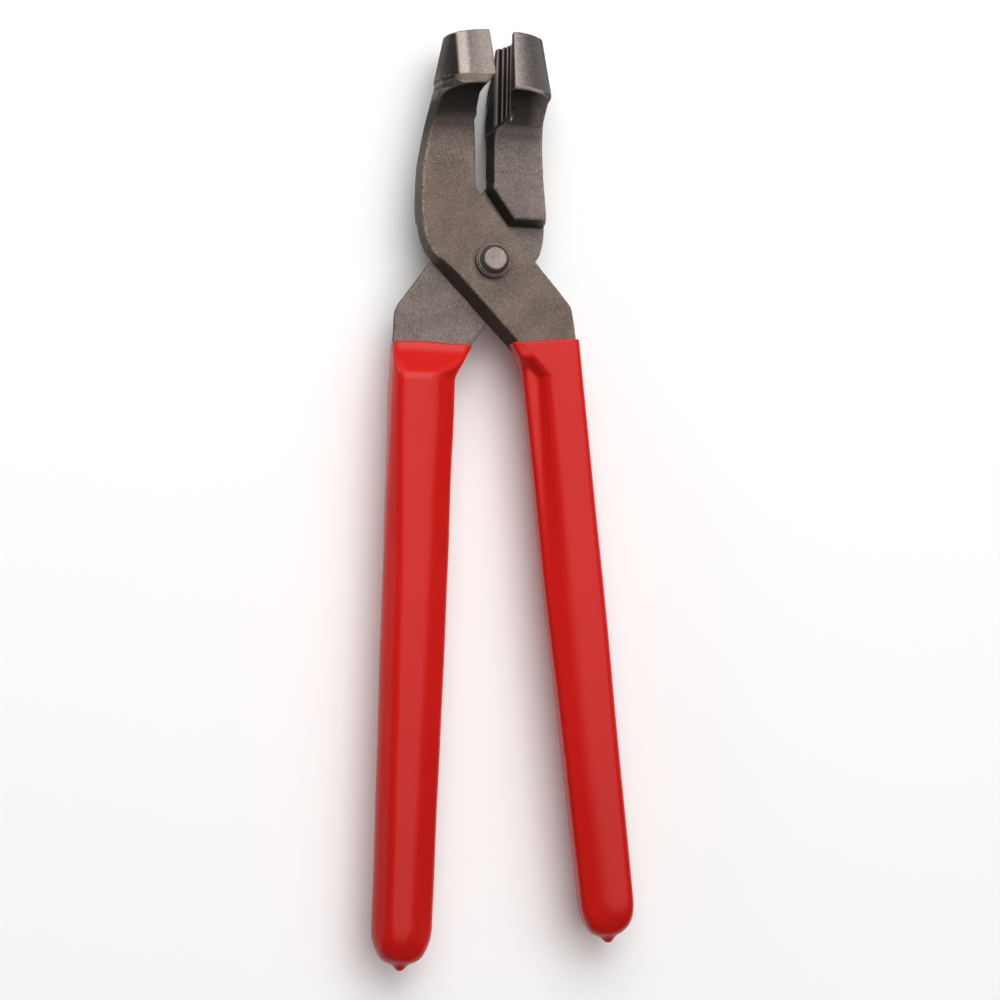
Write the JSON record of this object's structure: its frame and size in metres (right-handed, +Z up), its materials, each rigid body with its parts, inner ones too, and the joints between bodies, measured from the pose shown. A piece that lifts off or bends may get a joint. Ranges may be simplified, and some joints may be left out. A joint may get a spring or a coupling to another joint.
{
  "type": "tap nut pliers",
  "caption": "Slim crossed pliers with serrated half-round jaws that clamp a tap's fixing nut from inside, and dipped grips.",
  "frame": {"origin": "middle of the underside of the tool lying flat with its jaws slightly open, at the height of the backs of the jaw heads", "axes": "+Y from the grips to the jaws, +X to the right seen from above, +Z up along the pivot's axis"},
  "size_m": [0.0778, 0.2768, 0.0312],
  "materials": {
    "forged_steel": "tumbled, oiled forging scale, grey-brown, finely pitted",
    "rivet_steel": "turned and hammered steel",
    "dipped_vinyl": "glossy red dip coating"
  },
  "bodies": {
    "back_half": {"back_arm": "forged_steel", "rivet": "rivet_steel", "left_grip": "dipped_vinyl"},
    "front_half": {"front_arm": "forged_steel", "right_grip": "dipped_vinyl"}
  },
  "joints": [
    {"name": "pivot", "type": "hinge", "parent": "back_half", "child": "front_half", "pos_m": [0.00229, 0.06972, 0.0156], "axis": [0, 0, 1], "range_deg": [-6, 34]}
  ]
}
